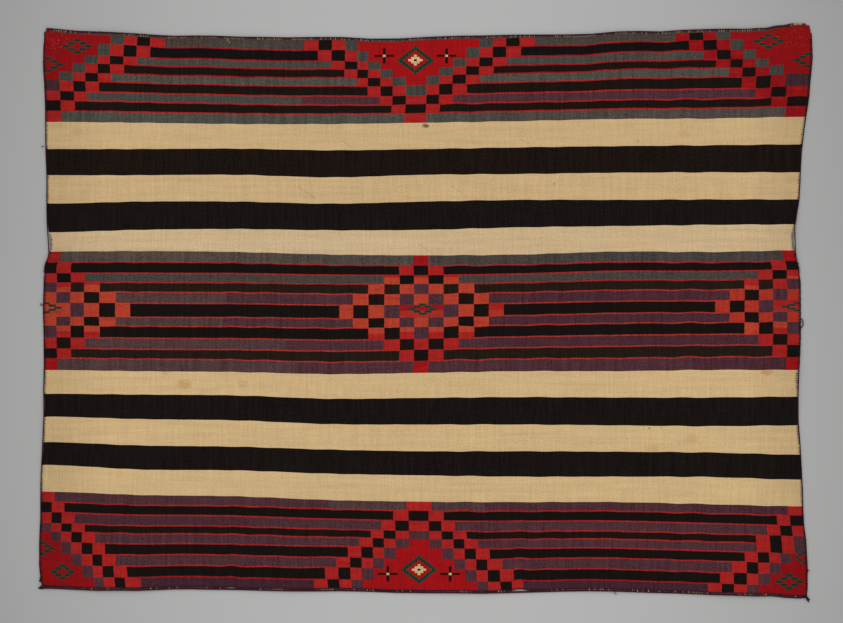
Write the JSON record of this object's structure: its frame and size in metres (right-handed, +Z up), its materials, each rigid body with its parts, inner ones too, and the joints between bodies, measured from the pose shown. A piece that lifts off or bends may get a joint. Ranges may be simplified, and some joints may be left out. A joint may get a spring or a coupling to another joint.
{
  "type": "chief blanket",
  "caption": "Flat hand-woven wool blanket with broad stripes, stepped diamonds of checks, twined edge cords and corner tufts; worn over the shoulders or laid as a cover",
  "frame": {"origin": "centre of the blanket's outline, at the surface that it lies on", "axes": "+X along the long edges, to the right as seen from the face; +Y across the blanket towards its top edge; +Z up out of the face"},
  "size_m": [1.86, 1.3841, 0.0081],
  "materials": {
    "web": "weft-faced wool tapestry weave, dry and matt, with stripes and checks of ivory, brown-black, red, grey and purple",
    "end_cord": "twined wool cord, dark purple, matt, with ivory warp loops showing between its turns",
    "side_cord": "thin twined wool cord, dark purple, matt",
    "tuft": "cut ends of twined wool cord, dark purple, matt"
  },
  "bodies": {
    "root": {"web": "web", "end_cord_top": "end_cord", "end_cord_bottom": "end_cord", "side_cord_left": "side_cord", "side_cord_right": "side_cord", "tuft_bottom_right": "tuft", "tuft_bottom_left": "tuft", "tuft_left_side": "tuft"}
  },
  "joints": []
}
